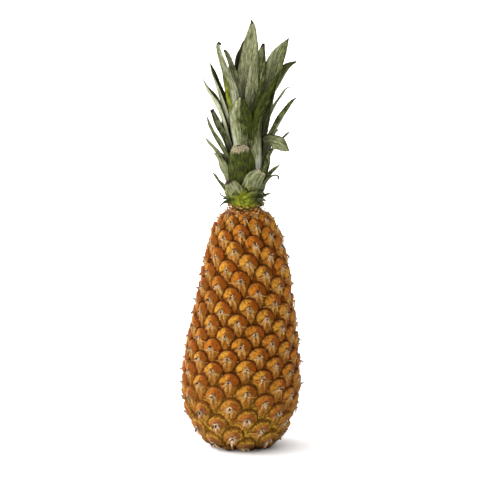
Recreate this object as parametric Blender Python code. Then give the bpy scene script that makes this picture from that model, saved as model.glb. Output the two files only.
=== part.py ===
"""A sugarloaf pineapple standing upright: the long, pear-like fruit body and its crown of leaves.

Units are metres and +Z is up. The origin is the middle of the flat spot on which the fruit stands,
and the front of the fruit faces -Y. An azimuth is counted from the front, towards +X.
"""

import math
import random

import bmesh
import bpy
import numpy as np
from mathutils import Vector

# The side of the fruit body, from the cut stem up to the neck, as radius and height.
OUTLINE = (
    (0.0110, 0.0000),
    (0.0225, 0.0010),
    (0.0325, 0.0060),
    (0.0435, 0.0200),
    (0.0512, 0.0400),
    (0.0537, 0.0580),
    (0.0513, 0.0920),
    (0.0443, 0.1345),
    (0.0366, 0.1780),
    (0.0290, 0.2030),
    (0.0220, 0.2140),
    (0.0145, 0.2210),
)
OUTLINE_SAMPLES = 1600
SLOPE_STEP = 0.001
LEAN = 0.0037
SWAY = 0.0014

# Fruitlets sit one golden angle apart along one winding line, counted from the one nearest mid-height.
FIRST_AZIMUTH = math.radians(-8.5)
DIVERGENCE = math.radians(-137.522)
DIVERGENCE_DRIFT = math.radians(-0.00236)
COUNT_HEIGHT = 0.1284
COUNT_THERE = 4.04
ROW_TILT = math.tan(math.radians(4.74))
FRUITLET_AREA = 0.000303
LOW_GAIN = 0.72
LOW_UP_TO = 0.0896
SMALL_BELOW_RADIUS = 0.0347
SMALL_POWER = 1.6

# Every eighth and every thirteenth fruitlet are neighbours: they run up to the left and to the right.
LEFT_STEP = 8
RIGHT_STEP = 13
LEFT_TURN = LEFT_STEP * DIVERGENCE + 3 * math.tau
RIGHT_TURN = RIGHT_STEP * DIVERGENCE + 5 * math.tau
CELLS = 4

# Relief of one fruitlet
GROOVE_DEPTH = 0.0020
SHIELD_HEIGHT = 0.0016
EYE_DEPTH = 0.0012
EYE_WIDTH = 0.35
BRACT_BULGE = 0.0014
UNEVEN = 0.0005
FADE_LENGTH = 0.008
SEAM_REACH = 1e-6
SKIN_CREASE = math.radians(35)

# The crown's stem stands on the neck with a small gap.
GAP = 0.0003
STEM_FOOT = OUTLINE[-1][1] + GAP
STEM_OUTLINE = (
    (0.0135, STEM_FOOT),
    (0.0175, STEM_FOOT + 0.012),
    (0.0190, STEM_FOOT + 0.030),
    (0.0150, STEM_FOOT + 0.055),
    (0.0060, STEM_FOOT + 0.085),
)
STEM_SIDES = 18
STEM_RINGS = 6
STEM_SAMPLES = 60

# Leaf blades
LONG_BLADE = 0.060
LONG_BLADE_PARTS = 6
SHORT_BLADE_PARTS = 4
BLADE_ACROSS = 2
BLADE_THICKNESS = 0.0011
TIP_WIDTH = 0.0010
FOOT_SHARE = 0.30
FOOT_INSET = 0.85
INNER_FOOT = 0.50
CROWN_TOP = 0.3925
LOWEST_FOOT = 0.001
RAISED_FROM = 0.250
TAPER_POWER = 4.0
FOOT_SWELL = 0.45
FOOT_SWELL_TO = 0.6
FOOT_BOW = 0.8
CHANNEL = 0.30
RIPPLE = 0.0008
RIPPLE_TURNS = 2.5
LEAF_CREASE = math.radians(40)

# Leaves seen from the front, as azimuth in degrees, tip radius from the stem's middle line, tip
# height, lean of the tip from upright in degrees, width, and width left at a blunt or torn tip.
SHOWN_LEAVES = (
    (161, 0.0160, 0.3925, 8, 0.026, 0.000),
    (200, 0.0150, 0.3660, 5, 0.016, 0.003),
    (80, 0.0165, 0.3730, 12, 0.014, 0.005),
    (115, 0.0440, 0.3753, 30, 0.024, 0.000),
    (75, 0.0490, 0.3580, 50, 0.016, 0.000),
    (105, 0.0433, 0.3290, 110, 0.008, 0.000),
    (95, 0.0466, 0.3220, 45, 0.012, 0.000),
    (110, 0.0445, 0.2910, 60, 0.011, 0.000),
    (65, 0.0440, 0.2765, 135, 0.020, 0.000),
    (85, 0.0337, 0.2640, 45, 0.012, 0.000),
    (80, 0.0295, 0.2504, 95, 0.011, 0.003),
    (70, 0.0280, 0.2362, 100, 0.013, 0.000),
    (55, 0.0231, 0.2285, 120, 0.011, 0.000),
    (265, 0.0241, 0.3740, 8, 0.011, 0.003),
    (230, 0.0260, 0.3640, 5, 0.016, 0.000),
    (280, 0.0328, 0.3578, 12, 0.012, 0.000),
    (290, 0.0421, 0.3434, 22, 0.017, 0.000),
    (255, 0.0325, 0.3103, 15, 0.012, 0.006),
    (280, 0.0356, 0.3116, 12, 0.011, 0.000),
    (295, 0.0417, 0.2921, 38, 0.011, 0.000),
    (270, 0.0286, 0.2718, 5, 0.017, 0.000),
    (285, 0.0316, 0.2564, 32, 0.013, 0.000),
    (275, 0.0232, 0.2350, 60, 0.006, 0.000),
    (300, 0.0246, 0.2311, 90, 0.006, 0.000),
    (295, 0.0255, 0.2244, 125, 0.012, 0.000),
    (352, 0.0240, 0.3264, 0, 0.022, 0.000),
    (305, 0.0260, 0.3592, -8, 0.018, 0.000),
    (355, 0.0290, 0.2800, 0, 0.031, 0.010),
    (28, 0.0247, 0.3216, 4, 0.023, 0.006),
    (32, 0.0306, 0.2591, 25, 0.026, 0.004),
    (330, 0.0298, 0.2471, 30, 0.024, 0.003),
    (340, 0.0249, 0.2366, 20, 0.017, 0.000),
    (42, 0.0269, 0.2416, 55, 0.022, 0.000),
    (12, 0.0207, 0.2379, 25, 0.019, 0.000),
)

# Leaves behind, hidden from the front, spread by the golden section and growing taller inwards.
HIDDEN_LEAVES = 14
HIDDEN_SPREAD = 52
GOLDEN_SECTION = 0.618
HIDDEN_LOW = 0.232
HIDDEN_HIGH = 0.358
HIDDEN_RADIUS = 0.028
HIDDEN_REACH = 0.014
LOW_LEAN = 85
LEAN_LOST = 80
LOW_WIDTH = 0.019
WIDTH_LOST = 0.006

# Plain finishes, as colour and roughness
SKIN_FINISH = ((0.42, 0.16, 0.03), 0.5)
LEAF_FINISH = ((0.16, 0.19, 0.07), 0.6)

SEED = 11

for old in list(bpy.data.objects):
    bpy.data.objects.remove(old)


def smooth_through(points, count):
    """Samples of a smooth curve through the points, close together and in order."""
    points = np.array(points)
    chords = np.sqrt(np.linalg.norm(np.diff(points, axis=0), axis=1))
    knots = np.concatenate([[0.0], np.cumsum(chords)])
    slopes = np.gradient(points, knots, axis=0)
    at = np.linspace(0.0, knots[-1], count)
    piece = np.clip(np.searchsorted(knots, at, side="right") - 1, 0, len(knots) - 2)
    length = (knots[piece + 1] - knots[piece])[:, None]
    share = (at - knots[piece])[:, None] / length
    start = (1 + 2 * share) * (1 - share) ** 2
    start_slope = share * (1 - share) ** 2
    end = share**2 * (3 - 2 * share)
    end_slope = share**2 * (share - 1)
    return (
        start * points[piece]
        + start_slope * length * slopes[piece]
        + end * points[piece + 1]
        + end_slope * length * slopes[piece + 1]
    )


def axis_offset(height):
    """How far the body's middle line stands off to +X: it leans a little and sways once."""
    share = height / OUTLINE[-1][1]
    return LEAN * share - SWAY * math.sin(math.tau * share)


class BodySurface:
    """The smooth side of the fruit, and the count of fruitlets from its base up to each height."""

    def __init__(self):
        side = smooth_through(OUTLINE, OUTLINE_SAMPLES)
        self.radius = side[:, 0]
        self.height = side[:, 1]
        steps = np.linalg.norm(np.diff(side, axis=0), axis=1)
        self.length = np.concatenate([[0.0], np.cumsum(steps)])
        low = np.clip((LOW_UP_TO - self.height) / LOW_UP_TO, 0, 1)
        upper = self.height > LOW_UP_TO
        slim = np.where(upper, np.minimum(1, self.radius / SMALL_BELOW_RADIUS), 1)
        area = FRUITLET_AREA * (1 + LOW_GAIN * low) * slim**SMALL_POWER
        ring = math.tau * self.radius / area
        counted = np.cumsum(0.5 * (ring[1:] + ring[:-1]) * steps)
        self.count = np.concatenate([[0.0], counted])
        level = np.interp(COUNT_HEIGHT, self.height, self.count)
        self.count += COUNT_THERE - level

    def point(self, azimuth, count):
        """Place and outward direction at an azimuth and fruitlet count, and the share of relief there."""
        along = np.interp(count, self.count, self.length)
        radius = np.interp(along, self.length, self.radius)
        from_end = min(along, self.length[-1] - along)
        fade = min(1.0, from_end / FADE_LENGTH)
        mid = math.sin(math.pi * along / self.length[-1])
        along -= radius * math.sin(azimuth) * ROW_TILT * mid
        along = min(max(along, 0.0), self.length[-1])
        radius = np.interp(along, self.length, self.radius)
        height = np.interp(along, self.length, self.height)
        slope = np.array(
            [
                np.interp(along + SLOPE_STEP, self.length, axis)
                - np.interp(along - SLOPE_STEP, self.length, axis)
                for axis in (self.radius, self.height)
            ]
        )
        slope /= np.linalg.norm(slope)
        outward = Vector((math.sin(azimuth), -math.cos(azimuth), 0.0))
        normal = outward * slope[1] - Vector((0, 0, slope[0]))
        place = outward * radius + Vector((axis_offset(height), 0, height))
        return place, normal, fade


def relief(left, right, uneven):
    """Height of the skin at a place in one fruitlet, given along its two rows from -0.5 to 0.5."""
    rim = 2 * max(abs(left), abs(right))
    shield = 1 - rim**2
    bract = max(0.0, -(left + right)) * shield
    eye = math.exp(-((rim / EYE_WIDTH) ** 2))
    rise = (GROOVE_DEPTH + SHIELD_HEIGHT + uneven) * shield - GROOVE_DEPTH
    return rise + BRACT_BULGE * bract - EYE_DEPTH * eye


def material(name, colour, roughness):
    made = bpy.data.materials.new(name)
    made.use_nodes = True
    shader = made.node_tree.nodes["Principled BSDF"]
    shader.inputs["Base Color"].default_value = (*colour, 1.0)
    shader.inputs["Roughness"].default_value = roughness
    shader.inputs["Metallic"].default_value = 0.0
    return made


def object_of(name, bm, finish):
    mesh = bpy.data.meshes.new(name)
    bm.to_mesh(mesh)
    bm.free()
    if finish:
        mesh.materials.append(finish)
    made = bpy.data.objects.new(name, mesh)
    bpy.context.scene.collection.objects.link(made)
    return made


def fruit_body():
    """The body as a grid wrapped round the fruit, with lines of the grid along the grooves."""
    surface = BodySurface()
    draw = random.Random(SEED)
    uneven = {}
    around = RIGHT_STEP * CELLS
    first, last = surface.count[0], surface.count[-1]
    rings = math.ceil((last - first) * CELLS / RIGHT_STEP)
    # Whole steps of the winding line fall on grid points.
    start = math.floor(first * CELLS / RIGHT_STEP)
    bm = bmesh.new()
    bmesh.ops.create_grid(bm, x_segments=around, y_segments=rings + 1, size=0.5)
    for vert in bm.verts:
        column = round((vert.co.x + 0.5) * around)
        ring = round((vert.co.y + 0.5) * (rings + 1))
        along_left = column / CELLS
        along_right = (start + ring - LEFT_STEP * column // RIGHT_STEP) / CELLS
        count = LEFT_STEP * along_left + RIGHT_STEP * along_right
        azimuth = FIRST_AZIMUTH + LEFT_TURN * along_left + RIGHT_TURN * along_right
        azimuth += DIVERGENCE_DRIFT * count**2
        place, normal, fade = surface.point(azimuth, min(max(count, first), last))
        left = along_left - math.floor(along_left + 0.5)
        right = along_right - math.floor(along_right + 0.5)
        fruitlet = round(count - LEFT_STEP * left - RIGHT_STEP * right)
        if fruitlet not in uneven:
            uneven[fruitlet] = draw.uniform(-UNEVEN, UNEVEN)
        place += normal * fade * relief(left, right, uneven[fruitlet])
        if ring == 0:
            place.z = OUTLINE[0][1]
        if ring == rings + 1:
            place.z = OUTLINE[-1][1]
        vert.co = place
        vert.co.z = min(max(place.z, 0.0), OUTLINE[-1][1])
    bmesh.ops.remove_doubles(bm, verts=bm.verts, dist=SEAM_REACH)
    ends = [edge for edge in bm.edges if edge.is_boundary]
    bmesh.ops.holes_fill(bm, edges=ends)
    bmesh.ops.triangulate(bm, faces=bm.faces)
    bmesh.ops.recalc_face_normals(bm, faces=bm.faces)
    skin = material("ripe_skin", *SKIN_FINISH)
    body = object_of("fruit", bm, skin)
    body.data.shade_smooth()
    body.data.set_sharp_from_angle(angle=SKIN_CREASE)
    return body


def leaves():
    """Every leaf's values, from the tallest in front to the hidden ones behind."""
    found = []
    for azimuth, radius, height, lean, width, tip_width in SHOWN_LEAVES:
        found.append((math.radians(azimuth), radius, height, math.radians(lean), width, tip_width))
    for index in range(HIDDEN_LEAVES):
        share = index / (HIDDEN_LEAVES - 1)
        swing = 2 * (index * GOLDEN_SECTION % 1) - 1
        azimuth = math.pi + math.radians(HIDDEN_SPREAD * swing)
        radius = HIDDEN_RADIUS + HIDDEN_REACH * math.sin(math.pi * share)
        height = HIDDEN_LOW + (HIDDEN_HIGH - HIDDEN_LOW) * share
        lean = math.radians(LOW_LEAN - LEAN_LOST * share)
        found.append((azimuth, radius, height, lean, LOW_WIDTH - WIDTH_LOST * share, 0.0))
    return found


def stem_radius(height):
    """Radius of the packed leaf bases round the stem, which swell above the neck."""
    side = smooth_through(STEM_OUTLINE, STEM_SAMPLES)
    return float(np.interp(height, side[:, 1], side[:, 0]))


def blade_width(share, width, tip_width):
    """Width of a blade from its foot at 0 to its tip at 1."""
    swell = 1 + FOOT_SWELL * max(0.0, 1 - share / FOOT_SWELL_TO) ** 2
    taper = 1 - share**TAPER_POWER
    return max(width * swell * taper, TIP_WIDTH, tip_width * share)


def leaf(name, azimuth, tip_radius, tip_height, tip_lean, width, tip_width):
    """A thin wavy blade that leaves the stem, bends along a smooth curve and ends in its tip."""
    foot_height = STEM_FOOT + LOWEST_FOOT + FOOT_SHARE * max(tip_height - RAISED_FROM, 0.0)
    inner = INNER_FOOT * (tip_height - STEM_FOOT) / (CROWN_TOP - STEM_FOOT)
    foot = np.array([(FOOT_INSET - inner) * stem_radius(foot_height), foot_height])
    tip = np.array([tip_radius, tip_height])
    reach = np.linalg.norm(tip - foot)
    chord = math.atan2(*(tip - foot))
    foot_lean = chord + FOOT_BOW * (chord - tip_lean)
    bends = (
        foot,
        foot + reach / 3 * np.array([math.sin(foot_lean), math.cos(foot_lean)]),
        tip - reach / 3 * np.array([math.sin(tip_lean), math.cos(tip_lean)]),
        tip,
    )
    away = Vector((math.sin(azimuth), -math.cos(azimuth), 0.0))
    side = Vector((math.cos(azimuth), math.sin(azimuth), 0.0))
    bm = bmesh.new()
    parts = LONG_BLADE_PARTS if reach > LONG_BLADE else SHORT_BLADE_PARTS
    bmesh.ops.create_grid(bm, x_segments=BLADE_ACROSS, y_segments=parts, size=0.5)
    for vert in bm.verts:
        share = vert.co.y + 0.5
        across = 2 * vert.co.x
        weights = ((1 - share) ** 3, 3 * share * (1 - share) ** 2, 3 * share**2 * (1 - share), share**3)
        radius, height = sum(weight * bend for weight, bend in zip(weights, bends))
        ahead = (
            (1 - share) ** 2 * (bends[1] - bends[0])
            + 2 * share * (1 - share) * (bends[2] - bends[1])
            + share**2 * (bends[3] - bends[2])
        )
        ahead /= np.linalg.norm(ahead)
        inward = Vector((0, 0, ahead[0])) - away * ahead[1]
        half = 0.5 * blade_width(share, width, tip_width)
        ripple = RIPPLE * math.sin(math.tau * RIPPLE_TURNS * share + azimuth) * share * across
        place = away * radius + Vector((LEAN, 0, height)) + side * half * across
        vert.co = place + inward * (2 * CHANNEL * half * across**2 + ripple)
    bmesh.ops.triangulate(bm, faces=bm.faces)
    bmesh.ops.recalc_face_normals(bm, faces=bm.faces)
    bmesh.ops.solidify(bm, geom=bm.faces, thickness=BLADE_THICKNESS)
    bmesh.ops.recalc_face_normals(bm, faces=bm.faces)
    return object_of(name, bm, None)


def stem():
    """The short stem inside the crown, flat underneath, as rings stacked up to a blunt top."""
    bm = bmesh.new()
    foot = bmesh.ops.create_circle(bm, segments=STEM_SIDES, radius=1.0, cap_ends=True)
    first_radius, first_height = STEM_OUTLINE[0]
    last_height = STEM_OUTLINE[-1][1]
    rim = bm.edges[:]
    for vert in foot["verts"]:
        vert.co = Vector((vert.co.x * first_radius + LEAN, vert.co.y * first_radius, first_height))
    for ring in range(1, STEM_RINGS + 1):
        height = first_height + (last_height - first_height) * ring / STEM_RINGS
        made = bmesh.ops.extrude_edge_only(bm, edges=rim)["geom"]
        rim = [part for part in made if isinstance(part, bmesh.types.BMEdge)]
        for vert in made:
            if isinstance(vert, bmesh.types.BMVert):
                flat = Vector((vert.co.x - LEAN, vert.co.y)).normalized() * stem_radius(height)
                vert.co = Vector((flat.x + LEAN, flat.y, height))
    bmesh.ops.holes_fill(bm, edges=rim)
    bmesh.ops.triangulate(bm, faces=bm.faces)
    bmesh.ops.recalc_face_normals(bm, faces=bm.faces)
    return object_of("crown", bm, material("leaf_green", *LEAF_FINISH))


def keep_outer_shell(mesh):
    """Drops sealed hollows and loose scraps that the union leaves, so one closed body stays."""
    bm = bmesh.new()
    bm.from_mesh(mesh)
    unseen = set(bm.verts)
    shells = []
    while unseen:
        shell = {unseen.pop()}
        edge_of_shell = list(shell)
        while edge_of_shell:
            vert = edge_of_shell.pop()
            for link in vert.link_edges:
                other = link.other_vert(vert)
                if other in unseen:
                    unseen.discard(other)
                    shell.add(other)
                    edge_of_shell.append(other)
        shells.append(shell)
    largest = max(shells, key=len)
    loose = [vert for vert in bm.verts if vert not in largest]
    bmesh.ops.delete(bm, geom=loose, context="VERTS")
    bm.to_mesh(mesh)
    bm.free()


def crown():
    """The stem and all its leaves, joined into one solid."""
    joined = stem()
    blades = bpy.data.collections.new("blades")
    bpy.context.scene.collection.children.link(blades)
    for number, values in enumerate(leaves()):
        blade = leaf(f"leaf_{number:02d}", *values)
        blades.objects.link(blade)
        bpy.context.scene.collection.objects.unlink(blade)
    union = joined.modifiers.new("union", "BOOLEAN")
    union.operation = "UNION"
    union.operand_type = "COLLECTION"
    union.collection = blades
    union.solver = "MANIFOLD"
    graph = bpy.context.evaluated_depsgraph_get()
    solid = bpy.data.meshes.new_from_object(joined.evaluated_get(graph))
    joined.modifiers.remove(union)
    joined.data = solid
    for blade in list(blades.objects):
        bpy.data.objects.remove(blade)
    bpy.data.collections.remove(blades)
    keep_outer_shell(solid)
    solid.shade_smooth()
    solid.set_sharp_from_angle(angle=LEAF_CREASE)
    return joined


fruit_body()
crown()
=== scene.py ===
"""The looks of a sugarloaf pineapple that stands upright, in metres, with +Z up and its front at -Y.

An azimuth is an angle round the fruit, counted from the front towards +X.
"""

import math
import random
from collections import namedtuple

import bmesh
import bpy
import numpy as np
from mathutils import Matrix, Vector, noise


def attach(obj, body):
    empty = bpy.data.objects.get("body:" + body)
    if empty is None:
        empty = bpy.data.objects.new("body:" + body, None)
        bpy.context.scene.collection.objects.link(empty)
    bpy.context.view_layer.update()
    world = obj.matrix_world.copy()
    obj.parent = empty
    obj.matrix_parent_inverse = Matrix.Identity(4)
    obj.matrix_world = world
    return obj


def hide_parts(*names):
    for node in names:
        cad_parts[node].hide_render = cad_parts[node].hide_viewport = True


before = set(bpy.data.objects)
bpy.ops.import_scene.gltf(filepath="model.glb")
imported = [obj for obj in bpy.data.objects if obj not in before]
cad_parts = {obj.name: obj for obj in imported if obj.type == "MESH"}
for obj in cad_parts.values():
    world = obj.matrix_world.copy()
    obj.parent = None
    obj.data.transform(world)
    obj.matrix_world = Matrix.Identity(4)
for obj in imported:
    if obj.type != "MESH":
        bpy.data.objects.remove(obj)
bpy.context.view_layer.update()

# The floor, the camera and the light. A wide, matt, white sheet takes a soft shadow to the right, because
# the main light stands high on the left, and the white room is brighter on that side. The camera stands a
# little above the middle of the fruit.
FLOOR_SIZE = 24.0
FLOOR_TONES = ((0.95, 0.95, 0.95), (0.97, 0.97, 0.97))
CAMERA_RISE = math.radians(8.95)
CAMERA_DISTANCE = 2.4
CAMERA_AIM = Vector((0.0080, 0.0, 0.1829))
FRAME_WIDTH = 0.4575
SENSOR_WIDTH = 36.0
ROOM_LEFT = 3.0
ROOM_RIGHT = 0.46
LAMP_POWER = 2.9
LAMP_SPREAD = math.radians(60)
LAMP_FROM = Vector((-1.1, 0.12, 0.95))


def fill(tree, socket, value):
    """Links another node's output to a socket, or gives the socket a value of its own."""
    if isinstance(value, bpy.types.NodeSocket):
        tree.links.new(value, socket)
    elif isinstance(value, tuple) and socket.type == "RGBA":
        socket.default_value = (*value, 1.0)
    else:
        socket.default_value = value


def put(tree, kind, inputs=None, **settings):
    """Adds a node, with its settings and inputs."""
    made = tree.nodes.new("ShaderNode" + kind)
    for name, value in settings.items():
        setattr(made, name, value)
    for name, value in (inputs or {}).items():
        fill(tree, made.inputs[name], value)
    return made


def new_material(name):
    made = bpy.data.materials.new(name)
    made.use_nodes = True
    return made, made.node_tree, made.node_tree.nodes["Principled BSDF"]


def blended(tree, share, low, high):
    """A colour that goes from low to high with a share, as an output socket."""
    return put(tree, "Mix", {0: share, 6: low, 7: high}, data_type="RGBA").outputs[2]


def ranged(tree, value, low, high, to_low=0.0, to_high=1.0):
    """A number between low and high spread over another range and kept inside it."""
    inputs = {0: value, 1: low, 2: high, 3: to_low, 4: to_high}
    return put(tree, "MapRange", inputs).outputs[0]


def new_group(name, inputs, output, kind):
    """An empty shader node group with named sockets, and its inner ends."""
    made = bpy.data.node_groups.new(name, "ShaderNodeTree")
    for title, title_kind in inputs.items():
        made.interface.new_socket(title, in_out="INPUT", socket_type=title_kind)
    made.interface.new_socket(output, in_out="OUTPUT", socket_type=kind)
    return made, made.nodes.new("NodeGroupInput").outputs, made.nodes.new("NodeGroupOutput").inputs[0]


NUMBER, COLOUR, VECTOR = "NodeSocketFloat", "NodeSocketColor", "NodeSocketVector"

# Grain: uneven spots of one size over a surface, a number from 0 to 1
grain_group, given, result = new_group(
    "grain", {"Place": VECTOR, "Scale": NUMBER, "Detail": NUMBER, "Roughness": NUMBER}, "Grain", NUMBER
)
noise_inputs = {title: given[title] for title in ("Scale", "Detail", "Roughness")}
spots = put(grain_group, "TexNoise", {"Vector": given["Place"], **noise_inputs})
grain_group.links.new(spots.outputs[0], result)

# Two tones: one colour where the grain is under From, the other where it is over To
tones_group, given, result = new_group(
    "two_tones",
    {"Grain": NUMBER, "From": NUMBER, "To": NUMBER, "First": COLOUR, "Second": COLOUR},
    "Tone",
    COLOUR,
)
share = ranged(tones_group, given["Grain"], given["From"], given["To"])
tones_group.links.new(blended(tones_group, share, given["First"], given["Second"]), result)


def grain(tree, place, scale, detail, roughness=0.5):
    inputs = {"Place": place, "Scale": scale, "Detail": detail, "Roughness": roughness}
    return put(tree, "Group", inputs, node_tree=grain_group).outputs[0]


def two_tones(tree, value, low, high, first, second):
    inputs = {"Grain": value, "From": low, "To": high, "First": first, "Second": second}
    return put(tree, "Group", inputs, node_tree=tones_group).outputs[0]


def object_place(tree):
    return put(tree, "TexCoord").outputs["Object"]


def mesh_from(bm, name):
    made = bpy.data.meshes.new(name)
    bm.to_mesh(made)
    bm.free()
    return made


def new_object(name, data):
    made = bpy.data.objects.new(name, data)
    bpy.context.scene.collection.objects.link(made)
    return made


floor_look, tree, shader = new_material("white_floor")
speckle = grain(tree, object_place(tree), 40.0, 3.0)
tree.links.new(two_tones(tree, speckle, 0.0, 1.0, *FLOOR_TONES), shader.inputs["Base Color"])
shader.inputs["Roughness"].default_value = 0.8
bm = bmesh.new()
bmesh.ops.create_grid(bm, x_segments=4, y_segments=4, size=FLOOR_SIZE / 2)
floor_mesh = mesh_from(bm, "floor")
floor_mesh.materials.append(floor_look)
floor = new_object("floor", floor_mesh)

back = Vector((0.0, -math.cos(CAMERA_RISE), math.sin(CAMERA_RISE)))
camera_data = bpy.data.cameras.new("camera")
camera_data.sensor_width = SENSOR_WIDTH
camera_data.lens = SENSOR_WIDTH * CAMERA_DISTANCE / FRAME_WIDTH
camera = new_object("camera", camera_data)
camera.location = CAMERA_AIM + back * CAMERA_DISTANCE
camera.rotation_euler = back.to_track_quat("Z", "Y").to_euler()
bpy.context.scene.camera = camera
bpy.context.scene.view_settings.view_transform = "Standard"

room = bpy.data.worlds.new("studio")
room.use_nodes = True
sky = room.node_tree
toward = put(sky, "SeparateXYZ", {0: put(sky, "TexCoord").outputs["Generated"]})
backdrop = sky.nodes["Background"]
backdrop.inputs["Color"].default_value = (1.0, 1.0, 1.0, 1.0)
brightness = ranged(sky, toward.outputs[0], -0.8, 0.8, ROOM_LEFT, ROOM_RIGHT)
sky.links.new(brightness, backdrop.inputs["Strength"])
bpy.context.scene.world = room

lamp_data = bpy.data.lights.new("key", "SUN")
lamp_data.energy = LAMP_POWER
lamp_data.angle = LAMP_SPREAD
lamp = new_object("key", lamp_data)
lamp.rotation_euler = LAMP_FROM.to_track_quat("Z", "Y").to_euler()

# The skin of the fruit. It is a waxy rind of some two hundred fruitlets, each one a rounded shield with
# a sunken eye, grown along spirals that turn by the golden angle. They are small at the neck and wide
# and flat at the base, where the fruit stands on the flat spot of its cut stem.
MM = 0.001
OUTLINE = (
    (0.0110, 0.0000),
    (0.0225, 0.0010),
    (0.0325, 0.0060),
    (0.0435, 0.0200),
    (0.0512, 0.0400),
    (0.0537, 0.0580),
    (0.0513, 0.0920),
    (0.0443, 0.1345),
    (0.0366, 0.1780),
    (0.0290, 0.2030),
    (0.0220, 0.2140),
    (0.0145, 0.2210),
)
OUTLINE_SAMPLES = 1600
LEAN = 0.0037
SWAY = 0.0014
CELLS = 22
FADE_LENGTH = 0.008

# The winding line that numbers the fruitlets from the base up, and their area on the skin
FIRST_AZIMUTH = math.radians(-8.5)
DIVERGENCE = math.radians(-137.522)
DIVERGENCE_DRIFT = math.radians(-0.00236)
COUNT_HEIGHT = 0.1284
COUNT_THERE = 4.04
ROW_TILT = math.tan(math.radians(4.74))
FRUITLET_AREA = 0.000303
LOW_GAIN = 0.72
LOW_UP_TO = 0.0896
SMALL_BELOW_RADIUS = 0.0347
SMALL_POWER = 1.6

# Every eighth and every thirteenth fruitlet are neighbours. Steps along both rows, to the right and up in
# millimetres, hold where the fruit has this radius and this length of skin for each fruitlet.
LEFT_STEP = 8
RIGHT_STEP = 13
LEFT_TURN = LEFT_STEP * DIVERGENCE + 3 * math.tau
RIGHT_TURN = RIGHT_STEP * DIVERGENCE + 5 * math.tau
LEFT_ROW = (-17.5, 9.0)
RIGHT_ROW = (10.8, 14.5)
ROW_RADIUS = 0.0500
ROW_PITCH = 0.00112


def smooth_through(points, count):
    """Samples of a smooth curve through the points, close together and in order."""
    points = np.array(points)
    chords = np.sqrt(np.linalg.norm(np.diff(points, axis=0), axis=1))
    knots = np.concatenate([[0.0], np.cumsum(chords)])
    slopes = np.gradient(points, knots, axis=0)
    at = np.linspace(0.0, knots[-1], count)
    piece = np.clip(np.searchsorted(knots, at, side="right") - 1, 0, len(knots) - 2)
    length = (knots[piece + 1] - knots[piece])[:, None]
    share = (at - knots[piece])[:, None] / length
    start = (1 + 2 * share) * (1 - share) ** 2
    start_slope = share * (1 - share) ** 2
    end = share**2 * (3 - 2 * share)
    end_slope = share**2 * (share - 1)
    return (
        start * points[piece]
        + start_slope * length * slopes[piece]
        + end * points[piece + 1]
        + end_slope * length * slopes[piece + 1]
    )


side_radius, side_height = smooth_through(OUTLINE, OUTLINE_SAMPLES).T
side_steps = np.hypot(np.diff(side_radius), np.diff(side_height))
side_length = np.concatenate([[0.0], np.cumsum(side_steps)])
low_share = np.clip((LOW_UP_TO - side_height) / LOW_UP_TO, 0, 1)
slim = np.where(side_height > LOW_UP_TO, np.minimum(1, side_radius / SMALL_BELOW_RADIUS), 1)
ring_count = math.tau * side_radius / (FRUITLET_AREA * (1 + LOW_GAIN * low_share) * slim**SMALL_POWER)
side_count = np.concatenate([[0.0], np.cumsum(0.5 * (ring_count[1:] + ring_count[:-1]) * side_steps)])
side_count += COUNT_THERE - np.interp(COUNT_HEIGHT, side_height, side_count)
first_count, last_count = side_count[0], side_count[-1]
side_pitch = np.gradient(side_length, side_count) / ROW_PITCH


def stretch_of(number):
    """How much wider and taller the rows are at a fruitlet than where their steps hold."""
    wide = np.interp(number, side_count, side_radius) / ROW_RADIUS
    tall = np.interp(number, side_count, side_pitch)
    return np.clip(wide, 0.6, 1.3) ** 0.8, np.clip(tall, 0.8, 1.6) ** 0.6


def bare_skin(along_left, along_right):
    """Place, outward direction and share of relief on the smooth body, at places along both rows."""
    count = LEFT_STEP * along_left + RIGHT_STEP * along_right
    azimuth = FIRST_AZIMUTH + LEFT_TURN * along_left + RIGHT_TURN * along_right
    azimuth = azimuth + DIVERGENCE_DRIFT * count**2
    along = np.interp(count, side_count, side_length)
    radius = np.interp(along, side_length, side_radius)
    fade = np.clip(np.minimum(along, side_length[-1] - along) / FADE_LENGTH, 0, 1)
    mid = np.sin(math.pi * along / side_length[-1])
    along = np.clip(along - radius * np.sin(azimuth) * ROW_TILT * mid, 0, side_length[-1])
    radius = np.interp(along, side_length, side_radius)
    height = np.interp(along, side_length, side_height)
    ahead, behind = along + MM, along - MM
    rise = np.interp(ahead, side_length, side_height) - np.interp(behind, side_length, side_height)
    widen = np.interp(ahead, side_length, side_radius) - np.interp(behind, side_length, side_radius)
    slope = np.hypot(rise, widen)
    out_x, out_y = np.sin(azimuth), -np.cos(azimuth)
    share = height / OUTLINE[-1][1]
    shift = LEAN * share - SWAY * np.sin(math.tau * share)
    place = np.stack([out_x * radius + shift, out_y * radius, height], axis=-1)
    normal = np.stack([out_x * rise / slope, out_y * rise / slope, -widen / slope], axis=-1)
    return place, normal, fade


# Fruitlets overlap like scales: the arch of a lower one covers the skirt of those above. These steps
# along both rows lead from a place's corner between the rows to the fruitlets that can show there.
OWNERS = ((0, 0), (1, 0), (0, 1), (1, 1), (2, 1), (1, 2), (0, 2))
ARCH_TALL = 7.6
ARCH_HALF = 10.2
ARM_REACH = 12.5
SLIM_REACH = 17.0
EYE_OFF = (-0.8, 0.4)
EYE_STRAY = 0.8
TALL_STRAY = 0.7
FAR = 99.0
WOBBLE = 0.025
WOBBLE_SCALE = 110.0

# Each fruitlet has a row of quirks from -1 to 1, found by its number on the winding line.
NUMBER_SHIFT = 160
QUIRK_ROWS = 320
QUIRK_SEED = 7
fruitlet_quirks = np.random.RandomState(QUIRK_SEED).uniform(-1, 1, (QUIRK_ROWS, 10))

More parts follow.
